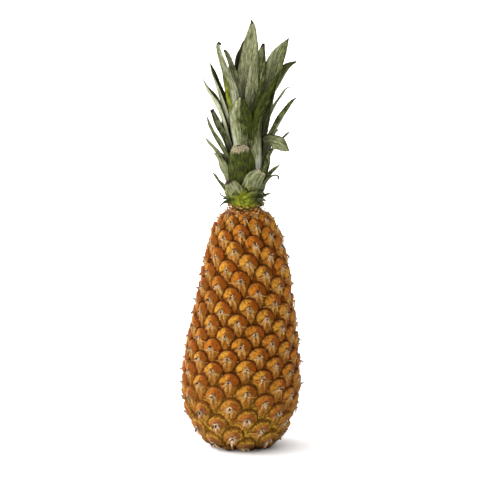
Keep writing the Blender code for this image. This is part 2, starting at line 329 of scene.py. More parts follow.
# Relief of one fruitlet: how far its parts stand off the smooth body, and their sizes, in millimetres
GROOVE_DEPTH = 2.4
ROOF_FOOT = 2.0
ROOF_RIDGE = 2.4
ROOF_HALF = 9.5
RIM_WIDTH = 0.8
LIP_DEPTH = 0.5
EYE_UP = 0.4
EYE_DEPTH = 1.9
EYE_HALF = (1.5, 0.55)
SHIELD_HALF = 10.2
SHIELD_LONG = 14.0
SHIELD_RISE = 2.7
HOLLOW_RISE = 2.5
DROP_FROM_EYE = 0.16
STAR_RISE = 1.1
MASK_REACH = 16


def noise_at(places, scale, offset=0.0):
    """Smooth noise from -1 to 1 at each place."""
    shift = Vector((offset, offset * 0.7, offset * 1.3))
    return np.array([noise.noise(Vector(place) * scale + shift) for place in places])


def smooth_step(value, low, high):
    share = np.clip((value - low) / (high - low), 0, 1)
    return share * share * (3 - 2 * share)


def bell(value, middle, width):
    """One at the middle, falling off smoothly to both sides."""
    return np.exp(-(((value - middle) / width) ** 2))


def in_spike(across, along, start, end, width):
    """How far a place lies inside a spike that narrows from its start to its end, in millimetres."""
    step_x, step_y = end[0] - start[0], end[1] - start[1]
    share = ((across - start[0]) * step_x + (along - start[1]) * step_y) / (step_x**2 + step_y**2)
    share = np.clip(share, 0, 1)
    gap = np.hypot(across - start[0] - share * step_x, along - start[1] - share * step_y)
    return width * (1 - 0.85 * share) - gap


def inside_arch(across, along, tall):
    """How far a place lies under the edge of a fruitlet's arch, whose feet run on outwards as arms."""
    out = np.abs(across) / ARCH_HALF
    edge = np.maximum(tall * (1 - out**3.0), -4.4 - 0.5 * (np.abs(across) - 9.5))
    slope = 1 + (3.0 * tall * across**2 / ARCH_HALF**3) ** 2
    return (edge - along) / np.sqrt(slope)


def owner_of(left_at, right_at):
    """Millimetres across and up from the eye of the fruitlet that shows, over the next arch, and quirks."""
    left_corner, right_corner = np.floor(left_at), np.floor(right_at)
    best = np.full(len(left_at), -FAR)
    over = np.full(len(left_at), FAR)
    across = np.zeros(len(left_at))
    along = np.zeros(len(left_at))
    quirks = np.zeros((fruitlet_quirks.shape[1], len(left_at)))
    for owner_left, owner_right in OWNERS:
        left, right = left_at - left_corner - owner_left, right_at - right_corner - owner_right
        number = LEFT_STEP * (left_corner + owner_left) + RIGHT_STEP * (right_corner + owner_right)
        own = fruitlet_quirks[np.clip(number.astype(int) + NUMBER_SHIFT, 0, QUIRK_ROWS - 1)].T
        wide, high = stretch_of(number)
        x = wide * (LEFT_ROW[0] * left + RIGHT_ROW[0] * right) + EYE_STRAY * own[0] + EYE_OFF[0]
        y = high * (LEFT_ROW[1] * left + RIGHT_ROW[1] * right) + EYE_STRAY * own[1] + EYE_OFF[1]
        inside = inside_arch(x, y, ARCH_TALL + TALL_STRAY * own[2])
        reached = np.abs(x) < np.minimum(ARM_REACH, SLIM_REACH * wide)
        owns = (inside > 0) & reached & (y > best)
        over = np.where((inside <= 0) & reached, np.minimum(over, -inside), over)
        across = np.where(owns, x, across)
        along = np.where(owns, y, along)
        quirks = np.where(owns, own, quirks)
        best = np.where(owns, y, best)
    return across, along, over, quirks


def fruitlet_form(along_left, along_right, place):
    """Height of the skin in metres, and the masks that its colours follow."""
    left_at = along_left + WOBBLE * noise_at(place, WOBBLE_SCALE)
    right_at = along_right + WOBBLE * noise_at(place, WOBBLE_SCALE, 31.0)
    across, along, over, quirks = owner_of(left_at, right_at)
    arch = np.maximum(inside_arch(across, along, ARCH_TALL + TALL_STRAY * quirks[2]), 0)
    skirt = np.clip(over, 0, FAR)
    edge = np.minimum(arch, skirt)
    from_eye = np.hypot(across, along - EYE_UP)
    low = 1 - smooth_step(place[:, 2], 0.015, 0.065)

    # The hood over the eye has a roof with two facets, and ends in a lip that rises to both sides.
    lip = along + 0.3 + 0.48 * np.abs(across)
    side_gap = 9.9 + 0.25 * np.minimum(along, 0) - np.abs(across)
    side_line = np.abs(side_gap) + 3 * smooth_step(np.abs(along + 2.2), 2.4, 4.0)
    hood = smooth_step(lip, -0.6, 0.5) * smooth_step(side_gap, -0.4, 0.5)
    roof = ROOF_FOOT + ROOF_RIDGE * np.clip(1 - np.abs(across + 0.3 * quirks[3]) / ROOF_HALF, 0, 1)
    rim = 1 - bell(arch, 0, RIM_WIDTH)
    # The notch under the lip sinks the relief, and is painted dark as a shadow too.
    under = bell(lip, -0.7, 0.55) * np.clip(np.abs(across) / 3 - 0.5, 0, 1) * rim
    eye = np.exp(-((across / EYE_HALF[0]) ** 2) - ((along - EYE_UP) / EYE_HALF[1]) ** 2)

    # Below it hangs a shield that narrows downwards, with a star of two legs and at most two arms.
    taper = SHIELD_HALF * (1 - (np.clip(-along - 2.0, 0, SHIELD_LONG) / SHIELD_LONG) ** 1.4)
    shield = smooth_step(taper - np.abs(across + 0.14 * along), -0.5, 0.6)
    left_leg = in_spike(across, along, (-1.0, -1.0), (-1.8 - 1.2 * quirks[8], -13.6), 1.6)
    right_leg = in_spike(across, along, (1.2, -1.0), (5.2 + 1.2 * quirks[7], -12.2), 1.6)
    left_arm = in_spike(across, along, (-2.8, -3.6), (-12.4, -4.4 + 1.4 * quirks[9]), 1.3)
    right_arm = in_spike(across, along, (2.8, -3.6), (11.4, -3.6 + 1.2 * quirks[5]), 1.2)
    left_arm = left_arm - 1.5 * (quirks[3] > -0.3)
    right_arm = right_arm - 1.5 * (quirks[6] > -0.3)
    rays = np.maximum(np.maximum(left_leg, right_leg), np.maximum(left_arm, right_arm))
    star = smooth_step(rays, -0.5, 0.3)
    hollow = (1 - shield) * (1 - star)
    hollow_rise = np.minimum(HOLLOW_RISE - DROP_FROM_EYE * from_eye, 0.4 + 0.7 * skirt)
    shield_rise = SHIELD_RISE - DROP_FROM_EYE * from_eye
    skirt_rise = hollow_rise + (1 - hollow) * (shield_rise - hollow_rise)
    skirt_rise = skirt_rise + STAR_RISE * star - low * hollow

    wrinkle = np.sin(2.2 * np.abs(across) + 4 * quirks[9] + 2.5 * noise_at(place, 150.0, 3.0))
    height = -GROOVE_DEPTH + rim * (skirt_rise + hood * (roof - skirt_rise))
    unevenness = 0.35 * rim * quirks[4] + 0.05 * rim * quirks[5] * across
    height += unevenness - EYE_DEPTH * eye - LIP_DEPTH * under
    height += 0.16 * wrinkle * hood * rim
    height += 0.45 * noise_at(place, 420.0, 5.0) + 0.50 * noise_at(place, 190.0, 9.0)

    bare = 1 - hood
    turn_of_ray = 3.0 * np.arctan2(across, along - EYE_UP)
    ray = np.stack([turn_of_ray, 0.22 * from_eye, 3 * quirks[0] + 5 * quirks[1]], axis=-1)
    streaks = np.clip(0.5 + 0.9 * noise_at(ray, 1.0), 0, 1)
    line = bell(np.minimum(edge, side_line), 0, 0.8) * (1 - 0.75 * star * bare)
    tint = bell(arch, 0, 2.6) * smooth_step(along, -1.0, 5.0)
    fuzz_up = (along + 1.6 + 1.6 * low) / (2.2 + 1.8 * low)
    fuzz = np.exp(-((across / (2.0 + 2.2 * low)) ** 2) - fuzz_up**2)
    masks = {
        "edges": (line, tint, bare * hollow),
        # The third of these is the eye, and also the notch under the hood's lip, where the same dark is
        # painted as a shadow.
        "dried": (fuzz, bare * star, np.maximum(eye, 0.8 * under)),
        "traits": (0.5 + 0.5 * quirks[6], 0.5 + 0.5 * quirks[7], 0.5 + across / MASK_REACH),
        "border": (bell(edge, 1.7, 0.9), streaks, np.zeros_like(edge)),
        # The first of these, a band along the arch's edge, is painted as a pale highlight on the left.
        "paper": (bell(arch, 1.3, 0.6) * hood, bare * (1 - hollow), from_eye / MASK_REACH),
    }
    return height * MM, masks


columns = RIGHT_STEP * CELLS
ring_start = math.floor(first_count * CELLS / RIGHT_STEP)
rings = math.ceil((last_count - first_count) * CELLS / RIGHT_STEP) + 1
bm = bmesh.new()
bm.loops.layers.uv.new("OFBake")
bmesh.ops.create_grid(bm, x_segments=columns, y_segments=rings, size=0.5, calc_uvs=True)
skin_mesh = mesh_from(bm, "fruit_skin")
grid_places = np.zeros(len(skin_mesh.vertices) * 3)
skin_mesh.vertices.foreach_get("co", grid_places)
grid_places = grid_places.reshape(-1, 3)
column = np.rint((grid_places[:, 0] + 0.5) * columns).astype(int)
ring = np.rint((grid_places[:, 1] + 0.5) * rings).astype(int)
along_left = column / CELLS
along_right = (ring_start + ring - LEFT_STEP * column // RIGHT_STEP) / CELLS
places, normals, fades = bare_skin(along_left, along_right)
heights, masks = fruitlet_form(along_left, along_right, places)
places = places + normals * (heights * fades)[:, None]
top_height = OUTLINE[-1][1]
places[ring == rings, 2] = top_height
places[:, 2] = np.clip(places[:, 2], 0.0, top_height)
places[ring == 0, 2] = 0.0
skin_mesh.vertices.foreach_set("co", places.ravel())
for name, parts in masks.items():
    layer = skin_mesh.attributes.new(name, "FLOAT_COLOR", "POINT")
    layer.data.foreach_set("color", np.stack([*parts, np.ones_like(parts[0])], axis=-1).ravel())

# The rows meet behind the fruit, and the top and the flat spot are closed.
bm = bmesh.new()
bm.from_mesh(skin_mesh)
bmesh.ops.remove_doubles(bm, verts=[vert for vert in bm.verts if vert.is_boundary], dist=1e-6)
bmesh.ops.holes_fill(bm, edges=[edge for edge in bm.edges if edge.is_boundary])
bmesh.ops.recalc_face_normals(bm, faces=bm.faces)
bm.to_mesh(skin_mesh)
bm.free()
skin_mesh.shade_smooth()
fruit_skin = new_object("fruit_skin", skin_mesh)

GOLD = (0.72, 0.330, 0.036)
ORANGE = (0.58, 0.170, 0.012)
RUSSET = (0.32, 0.074, 0.004)
CHESTNUT = (0.21, 0.062, 0.003)
PALE_GOLD_HIGHLIGHT = (0.72, 0.40, 0.085)
RED_EDGE = (0.30, 0.055, 0.006)
LOW_RUSSET = (0.36, 0.115, 0.026)
LOW_EDGE = (0.13, 0.030, 0.006)
SHIELD_TONES = ((0.35, 0.098, 0.008), (0.60, 0.240, 0.034))
SHIELD_SHADED = (0.26, 0.092, 0.010)
HOLLOW_BROWN_SHADE_TONES = ((0.24, 0.052, 0.003), (0.13, 0.045, 0.003))
LOW_HOLLOW = (0.40, 0.150, 0.016)
STREAK = (0.20, 0.062, 0.004)
YELLOW_TONES = ((0.34, 0.19, 0.010), (0.86, 0.54, 0.070))
STAR_TONES = ((0.52, 0.24, 0.034), (0.80, 0.52, 0.17))
STAR_END = (0.50, 0.20, 0.025)
GROOVE_TONES = ((0.075, 0.010, 0.001), (0.034, 0.014, 0.001))
LOW_GROOVE = (0.15, 0.060, 0.008)
FUZZ = (0.38, 0.27, 0.17)
EYE_AND_LIP_SHADOW_DARK = (0.035, 0.010, 0.002)
PORE = (0.10, 0.026, 0.002)
SPECK = (0.13, 0.035, 0.004)
BASE_DARK = (0.070, 0.030, 0.010)
STAIN = (0.16, 0.045, 0.003)


def times(tree, first, second):
    return put(tree, "Math", {0: first, 1: second}, operation="MULTIPLY").outputs[0]


def plus(tree, first, second):
    return put(tree, "Math", {0: first, 1: second}, operation="ADD").outputs[0]


def attribute(tree, name):
    """One number that the mesh carries at each point."""
    return put(tree, "Attribute", attribute_name=name).outputs[2]


def three_masks(tree, name):
    """The three numbers that the mesh carries under one name."""
    return put(tree, "SeparateColor", {0: put(tree, "Attribute", attribute_name=name).outputs[0]}).outputs


skin_look, tree, shader = new_material("ripe_skin")
place = object_place(tree)
height_of = put(tree, "SeparateXYZ", {0: place}).outputs[2]
blotch = grain(tree, place, 380.0, 5.0, 0.7)
patch = grain(tree, place, 28.0, 2.0)
pores = grain(tree, place, 900.0, 3.0)
line, tint, hollow = three_masks(tree, "edges")
fuzz, star, eye = three_masks(tree, "dried")
hue, shade, side = three_masks(tree, "traits")
ring_mark, streaks = three_masks(tree, "border")[:2]
pale_rim_highlight, shield, from_eye = three_masks(tree, "paper")
low_part = ranged(tree, height_of, 0.075, 0.02)

# The hood: its facets carry painted light and shade on top of their own tones, the left one painted lit gold
# and the right one painted shaded russet, with a pale rim that carries a painted highlight, red towards its
# edge
side = plus(tree, side, ranged(tree, blotch, 0.3, 0.7, -0.25, 0.25))
lit_facet = two_tones(tree, hue, 0.3, 1.0, GOLD, ORANGE)
shaded_facet = two_tones(tree, shade, 0.3, 1.0, RUSSET, CHESTNUT)
colour = two_tones(tree, side, 0.40, 0.60, lit_facet, shaded_facet)
# Painted highlight: the pale papery rim is painted brightest on the left facet, where the light falls
colour = blended(tree, times(tree, pale_rim_highlight, ranged(tree, side, 0.7, 0.2, 0.1, 0.85)), colour, PALE_GOLD_HIGHLIGHT)
colour = blended(tree, times(tree, tint, ranged(tree, patch, 0.35, 0.65, 0.35, 0.95)), colour, RED_EDGE)
colour = blended(tree, times(tree, low_part, 0.6), colour, LOW_RUSSET)
low_tint = times(tree, low_part, times(tree, tint, ranged(tree, blotch, 0.40, 0.55, 1.0, 0.4)))
colour = blended(tree, low_tint, colour, LOW_EDGE)

# The shield, with painted shade on its right side, the hollows beside it, which are darkened partly by
# painted shade and are yellow on the lowest fruitlets, and the star
shield_tone = two_tones(tree, blotch, 0.38, 0.60, *SHIELD_TONES)
# Painted shade: the shield darkens towards its right side, away from the light
shield_tone = blended(tree, ranged(tree, side, 0.45, 0.85, 0.0, 0.6), shield_tone, SHIELD_SHADED)
colour = blended(tree, times(tree, shield, 0.9), colour, shield_tone)
colour = blended(tree, ranged(tree, streaks, 0.15, 0.5, 0.5, 0.0), colour, STREAK)
yellow = two_tones(tree, blotch, 0.42, 0.56, *YELLOW_TONES)
low_hollow = two_tones(tree, patch, 0.42, 0.58, LOW_HOLLOW, yellow)
# The hollows are a dark brown, partly their own tone and partly painted shade, except low down, where they
# are yellow
hollow_tone = blended(tree, low_part, two_tones(tree, patch, 0.40, 0.60, *HOLLOW_BROWN_SHADE_TONES), low_hollow)
colour = blended(tree, times(tree, hollow, 0.95), colour, hollow_tone)
star_tone = two_tones(tree, blotch, 0.38, 0.58, *STAR_TONES)
star_tone = blended(tree, ranged(tree, from_eye, 0.5, 0.8, 0.0, 0.8), star_tone, STAR_END)
colour = blended(tree, times(tree, star, 0.85), colour, star_tone)

# The grooves, with a yellow border low down, the dry, dark eye, and a painted shadow under the hood's lip
yellow_share = times(tree, ring_mark, ranged(tree, height_of, 0.066, 0.03))
yellow_share = times(tree, yellow_share, ranged(tree, patch, 0.3, 0.55, 0.35, 0.95))
colour = blended(tree, yellow_share, colour, yellow)
groove = blended(tree, low_part, two_tones(tree, patch, 0.42, 0.62, *GROOVE_TONES), LOW_GROOVE)
colour = blended(tree, times(tree, line, ranged(tree, low_part, 0.0, 1.0, 1.0, 0.9)), colour, groove)
fuzz_share = times(tree, times(tree, fuzz, ranged(tree, blotch, 0.40, 0.52)), 0.9)
colour = blended(tree, fuzz_share, colour, FUZZ)
# The eye is dark, and the same dark is painted under the hood's lip as a shadow
colour = blended(tree, times(tree, eye, 0.8), colour, EYE_AND_LIP_SHADOW_DARK)

# Pores, specks and stains all over, and the dark of the base
colour = blended(tree, ranged(tree, pores, 0.35, 0.62, 0.45, 0.0), colour, PORE)
speck = times(tree, ranged(tree, pores, 0.60, 0.72), ranged(tree, patch, 0.4, 0.6, 0.2, 0.8))
colour = blended(tree, speck, colour, SPECK)
colour = blended(tree, ranged(tree, height_of, 0.011, 0.003, 0.0, 0.8), colour, BASE_DARK)
colour = blended(tree, ranged(tree, blotch, 0.28, 0.44, 0.6, 0.0), colour, STAIN)
tree.links.new(colour, shader.inputs["Base Color"])
dullness = plus(tree, ranged(tree, blotch, 0.3, 0.7, 0.34, 0.5), times(tree, line, 0.25))
tree.links.new(dullness, shader.inputs["Roughness"])
shader.inputs["Specular IOR Level"].default_value = 0.04
bumps = plus(tree, times(tree, pores, 0.8), blotch)
bump = put(tree, "Bump", {"Strength": 1.0, "Distance": 0.0045, "Height": bumps})
tree.links.new(bump.outputs[0], shader.inputs["Normal"])
skin_mesh.materials.append(skin_look)
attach(fruit_skin, "root")
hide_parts("fruit")

# The dry bracts. Each fruitlet keeps what is left of its bract and flower: a star of thin, papery ribs
# that runs from the eye down to the grooves, a tuft of pale scales, and one dark, pointed tip. They have
# the tone of straw, grey where they are weathered, and dry flakes stand round the neck too.
EYE_MATRIX = np.linalg.inv(np.array([LEFT_ROW, RIGHT_ROW]).T)
STRIP_SIDES = 3
STRIP_CORNERS = ((-0.5, 0.0), (0.5, 0.0), (0.0, 1.0), (-0.5, 0.0))
NECK_FLAKES = 130
NECK_MIDDLE = np.array([3.8, 0.0, 0.0])
NECK_OUT = 20.0
NECK_NARROWS = 5.0
NECK_FOOT = 213.0
NECK_RISES = 12.5
FLAKE_SEED = 900
FLAKE_THICK = 0.5 * MM
GOLDEN_TURN = 2.39996
BAKE_COLUMNS = 56
BAKE_MARGIN = 0.1
BRACT_OFF = (0.8, -0.6)
SCALE_THICK = 0.3 * MM
TIP_WIDTH = 2.3 * MM
TIP_THICK = 1.7 * MM
LOWEST = 0.2 * MM

# A rib's start, middle and end off the eye, its width, how far its start and end stand off the smooth
# body, and how grey it is, in millimetres
RIBS = (
    ((-0.5, -0.2), (-1.2, -4.5), (-2.0, -13.4), 1.1, 1.6, -0.3, 0.45),
    ((0.6, -0.2), (2.0, -4.0), (5.4, -12.2), 1.1, 1.6, -0.3, 0.45),
    ((-1.2, -1.4), (-3.2, -4.0), (-5.2, -8.0), 0.9, 1.5, 0.3, 0.5),
    ((-3.0, -3.6), (-7.5, -4.4), (-12.6, -4.6), 0.8, 1.0, -0.4, 0.1),
    ((3.0, -3.4), (7.5, -4.2), (11.8, -4.0), 0.8, 1.0, -0.4, 0.1),
)
ARM_FROM = 9
ARM_MISSING = 0.8
RIB_MISSING = 0.25
RIB_THICK = 0.7 * MM

bm = bmesh.new()
tone_layer = bm.verts.layers.float.new("tone")
grey_layer = bm.verts.layers.float.new("grey")
share_layer = bm.verts.layers.float.new("share")
bake_layer = bm.loops.layers.uv.new("OFBake")


def add_strip(bm, points, sides, lifts, widths, thick, tone, grey):
    """A thin, tapered strip with three sides along its points, and its tone from pale to dark."""
    parts = len(points) - 1
    before = len(bm.verts)
    faces_before = len(bm.faces)
    bmesh.ops.create_grid(bm, x_segments=STRIP_SIDES, y_segments=parts, size=0.5, calc_uvs=True)
    bm.verts.ensure_lookup_table()
    for vert in bm.verts[before:]:
        part = round((vert.co.y + 0.5) * parts)
        beside, above = STRIP_CORNERS[round((vert.co.x + 0.5) * STRIP_SIDES)]
        rise = thick * above * (0.4 + 0.6 * (1 - part / parts))
        vert.co = Vector(points[part] + sides[part] * beside * widths[part] + lifts[part] * rise)
        vert[tone_layer] = tone
        vert[grey_layer] = grey * max(0.0, 1 - 1.4 * part / parts)
        vert[share_layer] = part / parts
    bm.faces.ensure_lookup_table()

    # Each strip has its own small square of the picture that is baked for the piece.
    cell = (faces_before // (STRIP_SIDES * 3)) % (BAKE_COLUMNS * BAKE_COLUMNS)
    for face in bm.faces[faces_before:]:
        for loop in face.loops:
            spot = loop[bake_layer].uv
            spot.x = (cell % BAKE_COLUMNS + BAKE_MARGIN + (1 - 2 * BAKE_MARGIN) * spot.x) / BAKE_COLUMNS
            spot.y = (cell // BAKE_COLUMNS + BAKE_MARGIN + (1 - 2 * BAKE_MARGIN) * spot.y) / BAKE_COLUMNS


def over_skin(number, spots, heights):
    """Places over a fruitlet, from spots in millimetres off its eye and heights over the smooth body."""
    left = pow(LEFT_STEP, -1, RIGHT_STEP) * number % RIGHT_STEP
    right = (number - LEFT_STEP * left) // RIGHT_STEP
    quirks = fruitlet_quirks[number + NUMBER_SHIFT]
    offset = np.array(BRACT_OFF) - EYE_STRAY * quirks[:2]
    rows = (np.array(spots) + offset) / np.array(stretch_of(number)) @ EYE_MATRIX.T
    place, normal, fade = bare_skin(left + rows[:, 0], right + rows[:, 1])
    return place + normal * (np.array(heights) * MM * (0.3 + 0.7 * fade))[:, None], normal


def crossing(points, lifts):
    """Directions square to a line of points and to the skin under it."""
    ahead = np.gradient(points, axis=0)
    sides = np.cross(ahead, lifts)
    return sides / np.maximum(np.linalg.norm(sides, axis=1), 1e-9)[:, None]


def add_rib(dice, number, start, middle, end, width, rise_start, rise_end, grey):
    """A papery rib that bends down the shield and dips into the groove at its end."""
    reach = dice.uniform(0.72, 1.08)
    bend = np.array([dice.uniform(-0.9, 0.9), dice.uniform(-0.8, 0.8)])
    start, middle, end = np.array(start), np.array(middle) + bend, np.array(end) * reach + bend
    share = np.linspace(0.0, 1.0, 7)[:, None]
    spots = start * (1 - share) ** 2 + 2 * share * (1 - share) * middle + share**2 * end
    lift = dice.uniform(-0.4, 0.3)
    share = share[:, 0]
    heights = rise_start + (rise_end - rise_start) * share + lift * share**4 * 2 + 0.15
    points, lifts = over_skin(number, spots, heights)
    widths = width * MM * (1 - 0.75 * share**1.5) * dice.uniform(0.7, 1.15)
    tone = dice.uniform(0.0, 0.45)
    add_strip(bm, points, crossing(points, lifts), lifts, widths, RIB_THICK, tone, grey)


def add_tuft_scale(dice, number, big):
    """One small, pale scale of the tuft at the eye. The lowest fruitlets have big tufts."""
    heading = dice.uniform(0, math.tau)
    start = np.array([dice.uniform(-1.6, 1.6), dice.uniform(-3.6, 0.6)])
    long = dice.uniform(1.4, 3.8) * big
    way = np.array([math.cos(heading), 0.9 * math.sin(heading) - 0.5]) * long
    share = np.linspace(0.0, 1.0, 3)
    heights = dice.uniform(1.3, 1.9) + share * dice.uniform(0.2, 1.6)
    points, lifts = over_skin(number, start + share[:, None] * way, heights)
    widths = dice.uniform(0.45, 0.95) * MM * (1 - 0.7 * share) * big**1.7
    tone = dice.choice((0.1, 0.2, 0.3, 0.95))
    add_strip(bm, points, crossing(points, lifts), lifts, widths, SCALE_THICK, tone, 2.0)


def add_tip(dice, number):
    """The dark, pointed tip of the bract, which stands off the skin."""
    lean = dice.uniform(-1.0, 1.0)
    share = np.linspace(0.0, 1.0, 5)
    drop = dice.uniform(-2.4, 1.6)
    spots = np.column_stack([1.4 * lean * share, -1.0 + drop * share])
    heights = 1.0 + share * dice.uniform(2.0, 3.8)
    points, lifts = over_skin(number, spots, heights)
    beside = crossing(points, lifts) if abs(drop) > 0.4 else np.cross(lifts, np.array([0.0, 0.0, 1.0]))
    upper = np.cross(beside, np.gradient(points, axis=0) / MM)
    add_strip(bm, points, beside, upper, TIP_WIDTH * (1 - 0.8 * share**2), TIP_THICK, 1.0, 0.0)


def add_neck_flake(flake):
    """A dry flake that stands up round the neck, under the crown."""
    dice = random.Random(FLAKE_SEED + flake)
    azimuth = GOLDEN_TURN * flake
    inner = flake / NECK_FLAKES
    outward = np.array([math.sin(azimuth), -math.cos(azimuth), 0.0])
    tangent = np.array([math.cos(azimuth), math.sin(azimuth), 0.0])
    share = np.linspace(0.0, 1.0, 6)
    out = NECK_OUT - NECK_NARROWS * inner
    out = out + dice.uniform(1.5, 4.0) * share - dice.uniform(0.0, 2.0) * share**2
    rise = NECK_FOOT + NECK_RISES * inner
    rise = rise + dice.uniform(2.0, 4.6) * share - dice.uniform(0.0, 4.5) * share**2
    points = (outward * out[:, None] + NECK_MIDDLE + np.array([0.0, 0.0, 1.0]) * rise[:, None]) * MM
    widths = dice.uniform(2.2, 4.6) * MM * (1 - 0.9 * share**1.6)
    tone = dice.choice((0.0, 0.1, 0.45, 0.7))
    grey = dice.choice((0.0, 0.3, 0.5))
    add_strip(bm, points, np.tile(tangent, (6, 1)), np.tile(outward, (6, 1)), widths, FLAKE_THICK, tone, grey)


for number in range(math.ceil(first_count) + 5, math.floor(last_count) - 3):
    dice = random.Random(number)
    big = 1 + 0.8 * np.clip((0.06 - np.interp(number, side_count, side_height)) / 0.04, 0, 1)
    for start, middle, end, *rest in RIBS:
        if dice.random() >= (ARM_MISSING if abs(end[0]) > ARM_FROM else RIB_MISSING):
            add_rib(dice, number, start, middle, end, *rest)
    for scale in range(int(dice.randint(7, 11) * big)):
        add_tuft_scale(dice, number, big)
    add_tip(dice, number)
for flake in range(NECK_FLAKES):
    add_neck_flake(flake)
for vert in bm.verts:
    vert.co.z = max(vert.co.z, LOWEST)
bmesh.ops.remove_doubles(bm, verts=bm.verts, dist=1e-7)
bmesh.ops.holes_fill(bm, edges=[edge for edge in bm.edges if edge.is_boundary])
bmesh.ops.recalc_face_normals(bm, faces=bm.faces)
bract_mesh = mesh_from(bm, "dry_bracts")
bract_mesh.shade_smooth()
bract_mesh.set_sharp_from_angle(angle=math.radians(50))
dry_bracts = new_object("dry_bracts", bract_mesh)

STRAW_TONES = ((0.36, 0.150, 0.020), (0.52, 0.28, 0.080))
SHADED_STRAW = (0.14, 0.085, 0.03)
BROWN_STRAW = (0.27, 0.085, 0.020)
GREY_TONES = ((0.20, 0.140, 0.08), (0.60, 0.47, 0.30))
RIB_END = (0.24, 0.075, 0.010)
TIP_DARK = (0.020, 0.010, 0.006)
bract_look, tree, shader = new_material("dry_bract")
place = object_place(tree)
fibre = grain(tree, place, 600.0, 3.0)
tone = attribute(tree, "tone")
share = attribute(tree, "share")
side_of = put(tree, "SeparateXYZ", {0: place}).outputs[0]
straw = two_tones(tree, fibre, 0.35, 0.65, *STRAW_TONES)
# Painted shade: the bracts darken towards the fruit's right side, away from the light
straw = blended(tree, ranged(tree, side_of, 0.01, 0.045, 0.0, 0.45), straw, SHADED_STRAW)
straw = blended(tree, ranged(tree, tone, 0.3, 0.5, 0.0, 0.85), straw, BROWN_STRAW)
grey = two_tones(tree, fibre, 0.3, 0.7, *GREY_TONES)
colour = blended(tree, ranged(tree, attribute(tree, "grey"), 0.1, 0.7), straw, grey)
colour = blended(tree, ranged(tree, share, 0.5, 1.0, 0.0, 0.7), colour, RIB_END)
dark_share = times(tree, ranged(tree, tone, 0.6, 0.9), ranged(tree, share, -0.2, 0.4))
colour = blended(tree, dark_share, colour, TIP_DARK)
tree.links.new(colour, shader.inputs["Base Color"])
tree.links.new(ranged(tree, fibre, 0.3, 0.7, 0.6, 0.8), shader.inputs["Roughness"])
shader.inputs["Specular IOR Level"].default_value = 0.2
bract_mesh.materials.append(bract_look)
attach(dry_bracts, "root")

# The crown. Stiff leaves grow from a short stem, tall ones inside and short ones outside. A leaf is a
# channelled blade with a pale, streaky outer face and a darker inner one. Many tips are dried or torn.
# Angles are degrees and lengths are millimetres.
CROWN_AXIS = 3.7
CROWN_FOOT = 221.3
BLADE_ROUND = 7
BLADE_PARTS = 40
BLADE_THICK = 0.9
MARGIN_THICK = 0.25
LEAST_HALF = 0.15
TOOTH = 0.28
FOOT_BLOOM = 1.2
TWIST_WAVE = 0.10
FOLD_WAVE = 0.25
BLADE_SWAY = 0.5
BLADE_RIPPLE = 0.35
LEAF_TO_LEAF = 0.618
LEAF_MASKS = ("across", "along", "bloom", "green", "deep", "dried", "bleached", "number")

# In the photo's frame of 500 pixels, one pixel at the fruit is PIXEL long. The axis is PIXEL_AXIS from
# the left, and a spot on it at MARK_HEIGHT over the ground is PIXEL_MARK from the top.
PIXEL = 0.915
PIXEL_AXIS = 241.24
PIXEL_MARK = 231.5
MARK_HEIGHT = 200
DIP = round(math.sin(CAMERA_RISE), 3)
LEVEL = round(math.cos(CAMERA_RISE), 3)

# turn: where the outer face looks at its foot and tip, from the front towards +X. fold: how far both
# halves bend towards the inner face. bloom: how pale the outer and inner face are. lopsided: more
# bloom on the half at +across. Lengths along the blade follow: dried of the dry tip, torn and
# bleached below zero; green of the yellow-green foot; and last that of the foot darkened with painted
# shade, pale below zero.
Leaf = namedtuple("Leaf", "turn fold bloom keel dried green deep lopsided", defaults=(0, 0, 0, 0))


def seen_keel(depths, *spots):
    """A keel's places and widths, from those in the photo in pixels, and the depths of foot and tip."""
    stations = []
    for place, (x, y, width) in enumerate(spots):
        depth = depths[0] + (depths[1] - depths[0]) * place / (len(spots) - 1)
        across = (x - PIXEL_AXIS) * PIXEL
        height = MARK_HEIGHT + ((PIXEL_MARK - y) * PIXEL - depth * DIP) / LEVEL
        stations.append((round(across, 1), round(depth, 1), round(height, 1), round(width * PIXEL, 1)))
    return tuple(stations)


